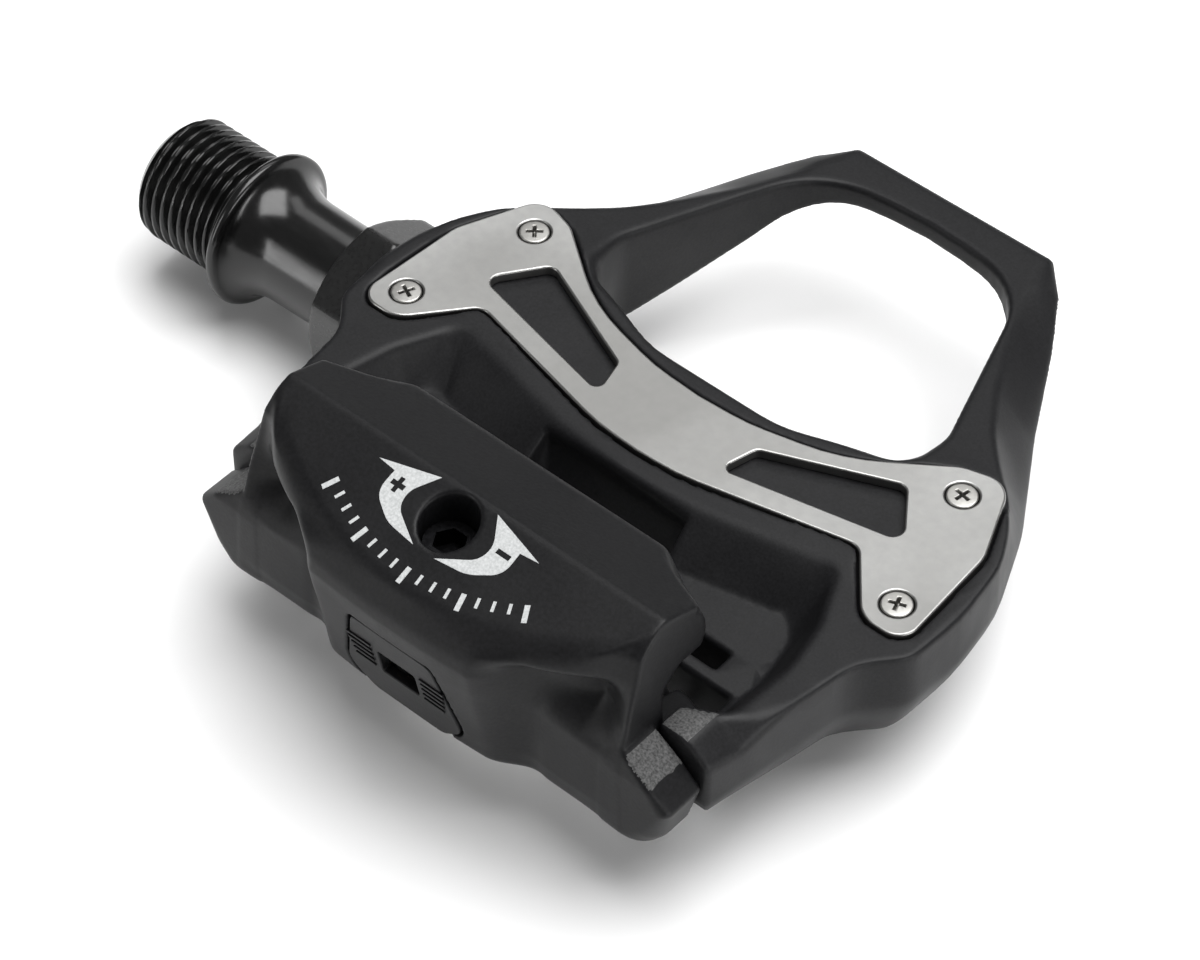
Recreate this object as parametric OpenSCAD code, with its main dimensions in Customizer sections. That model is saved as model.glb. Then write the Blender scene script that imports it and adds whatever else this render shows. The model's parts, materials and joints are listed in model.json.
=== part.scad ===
// Clipless road pedal for three-bolt cleats, right-hand side, loop pointing along +Y.
// Row frame: origin on the spindle axis at the crank side of the collar, +X away from the
// crank, +Z up. The pedal's own modules work in the pedal frame: X from the middle of the
// body, Y from the line through the two rear plate screws, Z from the top of the plate.

/* [Place of the body on the spindle] */
// Crank face of the collar to the middle of the body
pedal_x = 57; // [55:0.5:59]
// Spindle axis in front of the rear screw line
axle_y = 4.4; // [4:0.1:4.6]
// Spindle axis below the top of the plate
axle_drop = 10.25; // [10.1:0.05:10.4]

/* [Spindle] */
// Major diameter of the 9/16 inch crank thread
thread_d = 14.288; // [14.2:0.004:14.3]
// Length of the threaded end
thread_len = 12.85; // [12:0.05:14]
// Diameter of the collar that seats on the crank
collar_d = 17.7; // [17:0.1:18]
// Diameter of the bare shaft next to the collar
shaft_d = 12; // [11.8:0.1:12.2]
// Far end of the spindle
spindle_end = 80.8; // [80:0.1:82]
// Width across flats of the key socket in the crank end
key_af = 8; // [6:1:8]
// Depth of the key socket
key_depth = 8; // [6:0.5:10]

/* [Axle unit] */
// Width across flats of the lock nut
nut_af = 17; // [16:0.5:18]
// Crank side of the lock nut
nut_x = 14.75; // [14.5:0.05:15]
// Length of the lock nut's hexagon
nut_len = 5; // [4:0.1:5.2]
// Diameter of the steel sleeve in the body
sleeve_d = 16; // [15.9:0.1:16.1]
// Bore of the sleeve
sleeve_bore_d = 14; // [13.9:0.1:14]
// Diameter of the bearing balls
ball_d = 2.38; // [2.36:0.01:2.38]
// Middle of the inner ball row
inner_row_x = 32; // [31.5:0.5:32.5]
// Middle of the outer ball row
outer_row_x = 73; // [72.5:0.5:73]
// Radius on which the balls run
ball_track_r = 6.2; // [6.2:0.01:6.22]
// Number of balls in each row
ball_count = 14; // [10:1:15]
// Diameter of the needle rollers
needle_d = 1.7; // [1.6:0.02:1.7]
// Length of the needle rollers
needle_len = 9.8; // [8:0.2:10]
// Middle of the needle bearing
needle_x = 43; // [42:0.5:44]
// Number of needle rollers
needle_count = 14; // [10:1:16]
// Running clearance of the rolling parts, each side
roll_gap = 0.03; // [0.02:0.01:0.05]

/* [Body] */
// Depth of the bearing housing below the spindle axis
housing_r = 10.25; // [10.1:0.05:10.4]
// Height of the land round the plate, below the top of the plate
land_z = -0.3; // [-0.4:0.05:-0.2]
// Half the distance between the two arms
arm_in = 24.6; // [24.5:0.1:24.8]
// Rear end of the arms
arm_rear_y = -26.3; // [-26.4:0.1:-26]
// Rear face of the body between the arms
deck_rear_y = -15.8; // [-16:0.1:-15.6]
// Height of the recess floor where it starts
recess_z = -4.6; // [-5:0.1:-4]
// Half width of the deep slot in the recess
slot_half = 9.2; // [8:0.2:10]
// Floor of the deep slot
slot_z = -11; // [-12:0.5:-9]

/* [Wear plate] */
// Thickness of the plate
plate_t = 1.2; // [1:0.05:1.3]
// Gap between the plate's edge and its seat
plate_gap = 0.25; // [0.1:0.05:0.3]
// Rear screws, distance from the middle
screw_rear_x = 31.64; // [31.4:0.02:31.8]
// Front screws, distance from the middle
screw_front_x = 27.74; // [27.6:0.02:27.9]
// Front screws, distance in front of the rear ones
screw_front_y = 15.07; // [14.9:0.01:15.2]
// Diameter of the screw heads
screw_head_d = 3.6; // [3.4:0.1:3.8]

/* [Binding] */
// Pivot of the claw, from the rear screw line
pivot_y = -22.5; // [-22.6:0.1:-22.4]
// Pivot of the claw, from the top of the plate
pivot_z = -7.5; // [-7.6:0.1:-7.4]
// Diameter of the hinge pin
pin_d = 4; // [3.8:0.1:4]
// Half the width of the claw above its wings
claw_half = 24.1; // [23.8:0.1:24.2]
// Half the width of the claw across its wings
wing_half = 27.7; // [27.2:0.1:28]
// Underside of the hook
hook_z = 5.3; // [5:0.1:5.5]
// Height of the crease across the claw's top
crease_z = 12.4; // [12:0.1:12.6]
// Crease of the claw, from the rear screw line
crease_y = -24.3; // [-24.6:0.1:-24]
// Tension bolt, from the rear screw line
bolt_y = -27.5; // [-27.6:0.1:-27.4]
// Diameter of the tension bolt's thread
bolt_d = 4; // [3.8:0.1:4]
// Wire of the torsion springs
wire_d = 1.8; // [1.6:0.1:1.9]
// Turns of each torsion spring
spring_turns = 5; // [3:1:6]

/* [Hidden] */
round_fn = 64;
eps = 0.01;

// spindle diameters and stations along X
thread_r = thread_d / 2;
collar_r = collar_d / 2;
shaft_r = shaft_d / 2;
thread_chamfer = 0.9;
collar_rim = 1;
fillet_end = 5.6;
inner_track_r = 5.4;
needle_ring_r = 5.78;
needle_track_r = needle_ring_r - needle_d / 2 - roll_gap;
taper_r = 4.6;
journal_r = 4;
seal_x = nut_x + 0.6;
seal_len = 2.6;
seal_r = 7.6;
nut_bore_r = 6.3;
spigot_r = 7.2;
nut_collar_r = 9.2;
body_face_x = 21;
housing_end = 30.6;
spigot_end = 29;
sleeve_end = 81.6;
bore_end = 82.4;
face_r = 11;
cone_x = 70.2;
cone_len = 5.6;
washer_t = 0.8;
locknut_af = 10;
locknut_len = 3.4;
shell_r = sleeve_bore_d / 2;

// plate and body outlines: [x, y, corner radius] on the +X side, rear first
PLATE = [[0, -1.25, 0], [5, -1.1, 30], [24.3, 3.4, 1.8], [30, -3.5, 3.5], [35.15, -3.5, 3.5],
         [34.3, 10.1, 5], [30.3, 19.5, 3.8], [25.4, 18.1, 3.8], [16, 11.2, 22], [6, 8.8, 22],
         [0, 8.5, 0]];
WINDOW = [[7.9, 2.3, 0.8], [27.2, 6.6, 1.2], [22.9, 12.6, 1.2], [9, 6.6, 1]];
OUTLINE = [[0, arm_rear_y, 0], [29.5, arm_rear_y, 2], [31.8, -18, 20], [33.2, -8.6, 6], [37, -4.4, 4],
           [37.3, 3, 20], [36.2, 10.5, 14], [32.2, 19.6, 20], [25.2, 30.9, 30], [20.3, 40.4, 40],
           [17.6, 46.4, 4], [13.4, 50.2, 1.5], [0, 50.3, 0]];
LOOP = [[0, 11.3, 0], [8.5, 11.3, 14], [20.6, 16, 4.2], [21.3, 21, 4], [13.8, 42.6, 5.5],
        [0, 43.9, 0]];
RECESS = [[0, -4, 0], [9, -3, 12], [24.4, 0.1, 2], [27.6, -6.5, 6], [28.8, -12.5, 10],
          [27.6, -22, 3], [24, -24, 2], [0, -24, 0]];
screw_r = 1;
screw_len = 3.6;
recess_foot = 25.3;
recess_top = 28.6;
// side view of the body: [y, z, corner radius]
SIDE = [[-26.5, 0.7, 0], [-22.2, 0.7, 1], [-19, -0.1, 4], [-8, land_z, 10], [16, land_z, 20],
        [30, -1.5, 20], [50.4, -3.1, 0.6], [50.4, -5.4, 0.8], [44, -6, 10], [33, -10.4, 20],
        [22, -14.6, 12], [6, -18.4, 12], [-6, -16.8, 12], [-16, -14, 12], [-24, -12.2, 2]];
// top view of the claw above its waist and of its skirt below it
CLAW_TOP = [[0, -15.8, 0], [15.5, -15.8, 3], [19.2, -17.6, 6], [claw_half, -20.2, 0.4],
            [claw_half, -26.6, 1], [21.5, -30.2, 14], [9.5, -36.2, 24], [0, -36.9, 0]];
SKIRT = [[0, -17.2, 0], [claw_half, -17.2, 0.5], [claw_half, -26.7, 0.4], [wing_half, -26.7, 0.5],
         [wing_half, -31.5, 1.2], [22, -32.2, 6], [14.4, -31, 3], [9, -34.6, 8], [0, -35.6, 0]];
window_in = 12.6;
window_out = 21.3;
window_depth = 2.4;
bar_w = 1.7;
heel_r = 3.8;
wing_gap = 0.4;
CLAW_SIDE = [[-15.4, hook_z, 0.4], [-15.4, 9, 0.6], [crease_y, crease_z, 0.4], [-29, 11.1, 6],
             [-35.4, 8.6, 2], [-36.9, 5, 2], [-35.9, -1, 2], [-34.2, -11.6, 1], [-30, -12.4, 3],
             [-24, -13, 3], [-19, -11.5, 3], [-18.3, -4, 2], [-25.2, -1.5, 2], [-25, 3.6, 1],
             [-22.8, hook_z, 0.8]];
cavity_half = 20.8;
cavity_y = -27.6;
bay_half = 8;
bay_y = -31;
waist_z = 4;
nose_half = 13.5;
insert_tilt = 14.7;
insert_t = 1.1;
insert_y = -33.8;
insert_z = -3.1;
INSERT = [[0, -7.2, 0], [4.4, -7.2, 2], [7.4, -4.6, 2.4], [5, 5, 1], [0, 5, 0]];
window_w = 4.7;
window_h = 3.6;
window_rise = -0.6;
bolt_head_r = 2.6;
bolt_head_top = 8.4;
bolt_head_h = 2.6;
bolt_end_z = -6.4;
bolt_hex_af = 3;
hole_r = 2.9;
boss_r = 4.6;
boss_z = 3.2;
clip_t = 0.7;
nut_block = [7.2, 6.4, 3.4];
nut_block_z = -2.1;
pointer_w = 3.6;
pointer_h = 1.8;
pointer_drop = 1.6;
pointer_y = -32.9;
pin_from = -31.2;
pin_to = 29.6;
bush_r = 2.6;
bush_half = 20.4;
coil_r = 3.7;
spring_from = 5.4;
spring_to = 18.6;
spring_sides = 8;
steps_per_turn = 16;
claw_leg = 6.6;
body_leg = 5.4;
coil_sweep = 360 * spring_turns + 75;

// ---- outline helpers ----
function unit(v) = v / norm(v);
function side(a, b) = unit([b[1] - a[1], a[0] - b[0]]);
// corner points of a closed outline moved outwards by g
function grown(p, g) = [for (i = [0:len(p) - 1])
    let (a = p[(i + len(p) - 1) % len(p)], b = p[i], c = p[(i + 1) % len(p)],
         n = side(a, b), m = side(b, c))
    concat([b[0], b[1]] + g * (n + m) / (1 + n * m), [b[2]])];
// arc that rounds corner b between its neighbours a and c
function corner(a, b, c) =
    let (u = unit([a[0] - b[0], a[1] - b[1]]), v = unit([c[0] - b[0], c[1] - b[1]]),
         half = acos(max(-1, min(1, u * v))) / 2)
    b[2] <= 0 || half > 89 ? [[b[0], b[1]]] :
    let (reach = min(b[2] / tan(half), 0.48 * norm([a[0] - b[0], a[1] - b[1]]),
                     0.48 * norm([c[0] - b[0], c[1] - b[1]])),
         r = reach * tan(half), mid = [b[0], b[1]] + unit(u + v) * r / sin(half),
         p = [b[0], b[1]] + u * reach - mid, q = [b[0], b[1]] + v * reach - mid,
         turn = atan2(p[0] * q[1] - p[1] * q[0], p * q),
         steps = max(2, ceil(abs(turn) / 15)))
    [for (k = [0:steps]) let (t = turn * k / steps)
        mid + [p[0] * cos(t) - p[1] * sin(t), p[0] * sin(t) + p[1] * cos(t)]];
function rounded(p) = [for (i = [0:len(p) - 1])
    for (q = corner(p[(i + len(p) - 1) % len(p)], p[i], p[(i + 1) % len(p)])) q];
// a whole outline from the points on its +X side
function whole(h) = concat(h, [for (i = [len(h) - 1:-1:0]) if (h[i][0] > 0) [-h[i][0], h[i][1], h[i][2]]]);

// slab of a half outline between two heights
module slab(half, low, high, grow = 0) {
    translate([0, 0, low]) linear_extrude(high - low) polygon(rounded(grown(whole(half), grow)));
}
// bar of a side profile from x = -half_w to half_w
module bar(profile, half_w) {
    translate([-half_w, 0, 0]) rotate([90, 0, 90]) linear_extrude(2 * half_w) polygon(rounded(profile));
}
// solid of revolution about X from [x, r] points
module turned(points) {
    rotate([0, 90, 0]) rotate_extrude($fn = round_fn) polygon([for (p = points) [p[1], p[0]]]);
}
module tube(r_out, r_in, from, to) {
    rotate([0, 90, 0]) translate([0, 0, from]) difference() {
        cylinder(h = to - from, r = r_out, $fn = round_fn);
        translate([0, 0, -1]) cylinder(h = to - from + 2, r = r_in, $fn = round_fn);
    }
}
module rod(r, from, to) {
    rotate([0, 90, 0]) translate([0, 0, from]) cylinder(h = to - from, r = r, $fn = round_fn);
}
module hex_rod(af, from, to) {
    rotate([0, 90, 0]) translate([0, 0, from]) cylinder(h = to - from, r = af / sqrt(3), $fn = 6);
}
module in_pedal_frame() {
    translate([pedal_x, -axle_y, axle_drop]) children();
}
module on_pivot() {
    in_pedal_frame() translate([0, pivot_y, pivot_z]) children();
}
module on_bolt() {
    in_pedal_frame() translate([0, bolt_y, 0]) children();
}
module both_sides() {
    children();
    mirror([1, 0, 0]) children();
}

// ---- spindle and what is fixed to it ----
function thread_profile() = [[-thread_len, 0], [-thread_len, thread_r - thread_chamfer],
    [-thread_len + thread_chamfer, thread_r], [0, thread_r]];
// hollow that runs from the collar's rim down to the shaft
function collar_fillet() = [for (a = [0:15:90])
    [collar_rim + 0.6 + (fillet_end - collar_rim - 0.6) * (1 - cos(a)),
     shaft_r + (collar_r - 0.5 - shaft_r) * (1 - sin(a))]];

module spindle() {
    color("#1c1c1e") difference() {
        turned(concat(thread_profile(),
            [[0, collar_r - 0.2], [0.2, collar_r], [collar_rim, collar_r],
             [collar_rim + 0.6, collar_r - 0.5]],
            collar_fillet(),
            [[nut_x + 1, shaft_r - 0.1], [seal_x + seal_len, shaft_r - 0.1],
             [seal_x + seal_len + 4, inner_track_r], [inner_row_x + 3, inner_track_r],
             [inner_row_x + 3.4, needle_track_r], [needle_x + 7, needle_track_r],
             [needle_x + 9, taper_r], [outer_row_x - 8, taper_r], [outer_row_x - 7, journal_r],
             [spindle_end - 0.5, journal_r], [spindle_end, journal_r - 0.5], [spindle_end, 0]]));
        hex_rod(key_af, -thread_len - 1, -thread_len + key_depth);
        ball_track(inner_row_x);
    }
}
// torus cleared by a ball row
module ball_track(x) {
    rotate([0, 90, 0]) translate([0, 0, x]) rotate_extrude($fn = round_fn)
        translate([ball_track_r, 0]) circle(r = ball_d / 2 + roll_gap, $fn = round_fn);
}
module outer_cone() {
    color("#b8b8b8") difference() {
        tube(5.4, journal_r, cone_x, cone_x + cone_len);
        ball_track(outer_row_x);
    }
}
module keyed_washer() {
    color("#a0a0a0") tube(5.5, journal_r, cone_x + cone_len, cone_x + cone_len + washer_t);
}
module cone_locknut() {
    color("#909090") difference() {
        hex_rod(locknut_af, cone_x + cone_len + washer_t, cone_x + cone_len + washer_t + locknut_len);
        rod(journal_r, cone_x, spindle_end + 1);
    }
}

// ---- rolling elements ----
module ball_row(x) {
    for (i = [0:ball_count - 1])
        rotate([360 * i / ball_count, 0, 0]) translate([x, ball_track_r, 0])
            sphere(d = ball_d, $fn = 24);
}
module inner_balls() { color("#d0d0d0") ball_row(inner_row_x); }
module outer_balls() { color("#d0d0d0") ball_row(outer_row_x); }
module needle_rollers() {
    color("#c8c8c8") for (i = [0:needle_count - 1])
        rotate([360 * i / needle_count, 0, 0]) translate([0, needle_ring_r, 0])
            rod(needle_d / 2, needle_x - needle_len / 2, needle_x + needle_len / 2);
}

// ---- axle unit parts that turn with the body ----
module hex_lock_nut() {
    color("#161616") difference() {
        union() {
            intersection() {
                hex_rod(nut_af, nut_x, nut_x + nut_len);
                turned([[nut_x - eps, 0], [nut_x - eps, 8.3], [nut_x + 1, 9.9], [nut_x + nut_len, 9.9],
                        [nut_x + nut_len, 0]]);
            }
            rod(nut_collar_r, nut_x + nut_len, body_face_x);
            rod(spigot_r, body_face_x, spigot_end);
        }
        rod(nut_bore_r, nut_x - 1, spigot_end + 1);
        rod(seal_r, seal_x, seal_x + seal_len);
    }
}
module dust_seal() { color("#101010") tube(seal_r, shaft_r - 0.04, seal_x, seal_x + seal_len); }
module axle_sleeve() {
    color("#8a8a8a") difference() {
        tube(sleeve_d / 2, sleeve_bore_d / 2, spigot_end, sleeve_end);
        ball_track(inner_row_x);
        ball_track(outer_row_x);
    }
}
module needle_shell() {
    color("#9a9a9a") tube(shell_r, needle_ring_r + needle_d / 2 + roll_gap,
                          needle_x - needle_len / 2 - 0.6, needle_x + needle_len / 2 + 0.6);
}

// ---- body ----
module screw_places() {
    both_sides() translate([screw_rear_x, 0, 0]) children();
    both_sides() translate([screw_front_x, screw_front_y, 0]) children();
}
module recess() {
    intersection() {
        slab(RECESS, slot_z - 20, 4);
        bar([[-30, 4, 0], [4, 4, 0], [4, land_z, 0], [-2.6, land_z, 0], [-7.2, recess_z, 3],
             [-30, recess_z - 2, 0]], 40);
        rotate([90, 0, 0]) linear_extrude(80, center = true)
            polygon([[-recess_foot, -20], [recess_foot, -20], [recess_foot, recess_z - 1],
                     [recess_top, land_z], [recess_top, 6], [-recess_top, 6], [-recess_top, land_z],
                     [-recess_foot, recess_z - 1]]);
    }
}
module pedal_body() {
    color("#202022") difference() {
        in_pedal_frame() difference() {
            union() {
                difference() {
                    intersection() {
                        slab(OUTLINE, -24, 4);
                        bar(SIDE, 40);
                    }
                    slab(LOOP, -30, 5);
                    recess();
                    // deep slot for the middle of the cleat's tail
                    translate([-slot_half, -26, slot_z]) cube([2 * slot_half, 21.4, 20]);
                    drain_windows();
                    // room for the claw between the arms
                    translate([-arm_in, -40, -30]) cube([2 * arm_in, 40 + deck_rear_y, 40]);
                    arm_heels();
                }
                intersection() {
                    translate([0, axle_y, -axle_drop]) rod(housing_r, -36.2, housing_end);
                    slab(OUTLINE, -24, land_z);
                }
            }
            slab(PLATE, -plate_t, 5, plate_gap);
            screw_places() translate([0, 0, -screw_len - 0.3])
                cylinder(h = screw_len, r = screw_r, $fn = round_fn);
            translate([0, pivot_y, pivot_z]) rod(pin_d / 2, pin_from - 1.5, pin_to);
        }
        rod(sleeve_d / 2, 15, bore_end);
        rod(spigot_r, 15, spigot_end);
        rod(face_r, 5, body_face_x);
    }
}
// openings through the recess floor in front of the rear bar
module drain_windows() {
    both_sides() translate([window_in, deck_rear_y + bar_w, -24])
        cube([window_out - window_in, window_depth, 22]);
}
// the arms' lower rear corners, cut round the pivot so that the wings can swing past
module arm_heels() {
    translate([0, pivot_y, pivot_z]) difference() {
        translate([-40, -12, -12]) cube([80, 12 - 0.6, 12]);
        rod(heel_r, -40, 40);
    }
}
module screw_head(grow) {
    head_r = screw_head_d / 2 + grow;
    rotate_extrude($fn = round_fn)
        polygon([[0, -plate_t], [screw_r + grow, -plate_t], [head_r, -0.2], [head_r, grow], [0, grow]]);
}
module plate_screws() {
    color("#a8a8a8") in_pedal_frame() screw_places() difference() {
        union() {
            screw_head(0);
            translate([0, 0, -screw_len]) cylinder(h = screw_len - 1, r = screw_r, $fn = round_fn);
        }
        for (a = [45, 135]) rotate([0, 0, a]) translate([-0.9, -0.18, -0.7]) cube([1.8, 0.36, 1]);
    }
}
module body_plate() {
    color("#c4c4c2") in_pedal_frame() difference() {
        slab(PLATE, -plate_t, 0);
        both_sides() translate([0, 0, -3]) linear_extrude(5) polygon(rounded(WINDOW));
        screw_places() screw_head(0.02);
        screw_places() translate([0, 0, -3]) cylinder(h = 3, r = 1.02, $fn = round_fn);
    }
}

// ---- binding ----
module claw_shell() {
    intersection() {
        bar(CLAW_SIDE, wing_half + 1);
        union() {
            slab(CLAW_TOP, waist_z, 16);
            slab(SKIRT, -20, waist_z + eps);
        }
    }
}
module claw() {
    color("#1e1e20") in_pedal_frame() difference() {
        union() {
            difference() {
                claw_shell();
                // wings stop below the arms' tops
                both_sides() translate([claw_half, -40, -0.4]) cube([10, 30, 20]);
                both_sides() translate([claw_half, -40, -30]) cube([10, 30, 19.2]);
                // waist between the rim and the skirt, each side of the nose
                both_sides() translate([nose_half, -40, -0.5]) cube([20, 40 - 29.7, waist_z + 0.5]);
                // hollow for the springs, and bay for the tension nut
                translate([-cavity_half, cavity_y, -20])
                    cube([2 * cavity_half, deck_rear_y - cavity_y, 20 + boss_z]);
                translate([-bay_half, bay_y, -20])
                    cube([2 * bay_half, deck_rear_y - bay_y, 20 + boss_z]);
                // the wings' front faces, round the pivot
                both_sides() translate([claw_half, pivot_y, pivot_z]) rod(heel_r + wing_gap, 0, 10);
            }
            difference() {
                translate([0, bolt_y, boss_z]) cylinder(h = 6, r = boss_r, $fn = round_fn);
                translate([-10, -25.2, 0]) cube([20, 10, hook_z]);
            }
            // knuckles on the hinge pin
            both_sides() translate([0, pivot_y, pivot_z]) rod(4.2, cavity_half, claw_half);
        }
        translate([0, bolt_y, bolt_head_top - bolt_head_h - 0.05])
            cylinder(h = 20, r = hole_r, $fn = round_fn);
        translate([0, bolt_y, -10]) cylinder(h = 20, r = bolt_d / 2 + 0.05, $fn = round_fn);
        translate([0, pivot_y, pivot_z]) rod(pin_d / 2 + 0.05, -40, 40);
        indicator_seat(0.05);
        // slot that the pointer climbs in
        translate([-pointer_w / 2 - 0.2, -36.5, -9]) cube([pointer_w + 0.4, 8, 8.6]);
    }
}
module indicator_seat(grow) {
    translate([0, insert_y, insert_z]) rotate([90 + insert_tilt, 0, 0])
        linear_extrude(10) polygon(rounded(grown(whole(INSERT), grow)));
}
module indicator_insert() {
    color("#242426") in_pedal_frame() translate([0, insert_y, insert_z]) rotate([90 + insert_tilt, 0, 0])
        difference() {
            linear_extrude(insert_t) polygon(rounded(whole(INSERT)));
            translate([-window_w / 2, window_rise - window_h / 2, -1]) cube([window_w, window_h, 4]);
        }
}
module tension_bolt() {
    color("#303032") on_bolt() difference() {
        union() {
            translate([0, 0, bolt_head_top - bolt_head_h])
                cylinder(h = bolt_head_h, r = bolt_head_r, $fn = round_fn);
            translate([0, 0, bolt_end_z])
                cylinder(h = bolt_head_top - bolt_end_z - 1, r = bolt_d / 2, $fn = round_fn);
        }
        translate([0, 0, bolt_head_top - 2]) cylinder(h = 3, r = bolt_hex_af / sqrt(3), $fn = 6);
        // groove for the clip
        translate([0, 0, boss_z - clip_t]) difference() {
            cylinder(h = clip_t, r = bolt_d, $fn = round_fn);
            translate([0, 0, -1]) cylinder(h = 3, r = bolt_d / 2 - 0.4, $fn = round_fn);
        }
    }
}
module bolt_clip() {
    color("#9a9a9a") on_bolt() translate([0, 0, boss_z - clip_t + 0.03]) difference() {
        cylinder(h = clip_t - 0.06, r = 3.5, $fn = round_fn);
        translate([0, 0, -1]) cylinder(h = 3, r = bolt_d / 2 - 0.36, $fn = round_fn);
    }
}
module tension_nut() {
    color("#c9a23a") on_bolt() difference() {
        union() {
            translate([-nut_block[0] / 2, -nut_block[1] / 2, nut_block_z]) cube(nut_block);
            translate([-pointer_w / 2, pointer_y - bolt_y, nut_block_z - pointer_drop])
                cube([pointer_w, bolt_y - pointer_y, pointer_h]);
        }
        translate([0, 0, -20]) cylinder(h = 30, r = bolt_d / 2 + 0.05, $fn = round_fn);
    }
}
module hinge_pin() { color("#b0b0b0") on_pivot() rod(pin_d / 2, pin_from, pin_to); }
module pin_sleeve() { color("#dadada") on_pivot() tube(bush_r, pin_d / 2, -bush_half, bush_half); }

// ---- torsion springs: a helix about the pin with a straight leg at each end ----
// the claw's leg leaves the top of the coil rearwards, under the nut; the body's leg leaves the
// front of the coil downwards, against the body's rear face
function coil_point(t) = let (a = coil_sweep * t)
    [spring_from + (spring_to - spring_from) * t, coil_r * sin(a), coil_r * cos(a)];
coil_steps = round(steps_per_turn * coil_sweep / 360);
COIL = [for (i = [0:coil_steps]) coil_point(i / coil_steps)];
function wire_path() = let (n = len(COIL) - 1)
    concat([COIL[0] + claw_leg * unit(COIL[0] - COIL[1])], COIL,
           [COIL[n] + body_leg * unit(COIL[n] - COIL[n - 1])]);
function frame_at(p, i) =
    let (t = unit(p[min(i + 1, len(p) - 1)] - p[max(i - 1, 0)]), u = unit(cross(t, [1, 0, 0])))
    [u, cross(t, u)];
module wire(p) {
    n = len(p);
    s = spring_sides;
    ring = [for (i = [0:n - 1]) let (f = frame_at(p, i)) for (k = [0:s - 1])
        p[i] + wire_d / 2 * (f[0] * cos(360 * k / s) + f[1] * sin(360 * k / s))];
    quads = [for (i = [0:n - 2]) for (k = [0:s - 1])
        [i * s + k, i * s + (k + 1) % s, (i + 1) * s + (k + 1) % s, (i + 1) * s + k]];
    polyhedron(ring, concat(quads, [[for (k = [s - 1:-1:0]) k], [for (k = [0:s - 1]) (n - 1) * s + k]]));
}
module spring_right() { color("#77777a") on_pivot() wire(wire_path()); }
module spring_left() { color("#77777a") on_pivot() mirror([1, 0, 0]) wire(wire_path()); }

spindle();
outer_cone();
keyed_washer();
cone_locknut();
inner_balls();
outer_balls();
needle_rollers();
pedal_body();
body_plate();
plate_screws();
hex_lock_nut();
dust_seal();
axle_sleeve();
needle_shell();
hinge_pin();
pin_sleeve();
spring_left();
spring_right();
claw();
indicator_insert();
bolt_clip();
tension_bolt();
tension_nut();
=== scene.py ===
"""Looks of the clipless road pedal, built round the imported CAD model.

Body and claw are sampled as distance fields and meshed here, so that their edges and fillets are
real geometry. The field formulas are in millimetres in the pedal frame: X from the middle of the
body, Y from the line through the two rear plate screws, Z from the top of the wear plate.
"""

import json
import math
from itertools import product

import bpy
import numpy as np
from mathutils import Matrix, Vector


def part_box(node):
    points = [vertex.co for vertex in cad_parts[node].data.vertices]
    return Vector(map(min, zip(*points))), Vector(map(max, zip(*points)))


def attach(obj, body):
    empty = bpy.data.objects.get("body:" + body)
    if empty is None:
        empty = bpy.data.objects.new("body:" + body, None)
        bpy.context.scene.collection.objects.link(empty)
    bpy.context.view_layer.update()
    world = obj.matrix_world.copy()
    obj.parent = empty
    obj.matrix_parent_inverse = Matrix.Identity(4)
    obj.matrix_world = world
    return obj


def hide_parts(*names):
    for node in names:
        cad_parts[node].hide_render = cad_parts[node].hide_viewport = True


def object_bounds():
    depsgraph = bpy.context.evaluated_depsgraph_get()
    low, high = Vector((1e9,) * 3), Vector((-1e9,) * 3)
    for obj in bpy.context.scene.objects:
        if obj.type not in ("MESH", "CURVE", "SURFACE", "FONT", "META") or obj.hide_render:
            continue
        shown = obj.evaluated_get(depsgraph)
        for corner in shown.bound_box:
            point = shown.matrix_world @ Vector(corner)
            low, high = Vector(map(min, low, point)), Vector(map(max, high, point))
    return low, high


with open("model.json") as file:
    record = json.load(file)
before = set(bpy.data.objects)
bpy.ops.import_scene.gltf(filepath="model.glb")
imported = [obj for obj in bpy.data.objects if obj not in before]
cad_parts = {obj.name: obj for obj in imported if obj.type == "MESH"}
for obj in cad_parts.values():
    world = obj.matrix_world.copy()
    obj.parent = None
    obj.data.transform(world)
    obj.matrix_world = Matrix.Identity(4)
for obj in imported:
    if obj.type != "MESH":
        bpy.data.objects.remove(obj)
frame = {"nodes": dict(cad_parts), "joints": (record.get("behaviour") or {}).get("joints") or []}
cad_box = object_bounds()

MM = 0.001

# ---- places read from the frame ----
HEAD_R = 1.8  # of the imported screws, whose box ends at their heads
VISIBLE_HEAD_R, SHANK_R = 1.6, 1.0
bolt_low, bolt_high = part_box("tension_bolt")
plate_low, plate_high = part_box("body_plate")
screws_low, screws_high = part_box("plate_screws")
nut_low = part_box("hex_lock_nut")[0]
PEDAL = Vector(((bolt_low.x + bolt_high.x) / 2, screws_low.y + HEAD_R * MM, plate_high.z))
AXLE_Y, AXLE_Z = -PEDAL.y / MM, -PEDAL.z / MM
claw_joint = next(j for j in frame["joints"] if j["name"] == "claw_tilt")
PIVOT_Y, PIVOT_Z = [(claw_joint["pos_m"][i] - PEDAL[i]) / MM for i in (1, 2)]
BOLT_Y = ((bolt_low.y + bolt_high.y) / 2 - PEDAL.y) / MM
PLATE_T = (plate_high.z - plate_low.z) / MM


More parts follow.
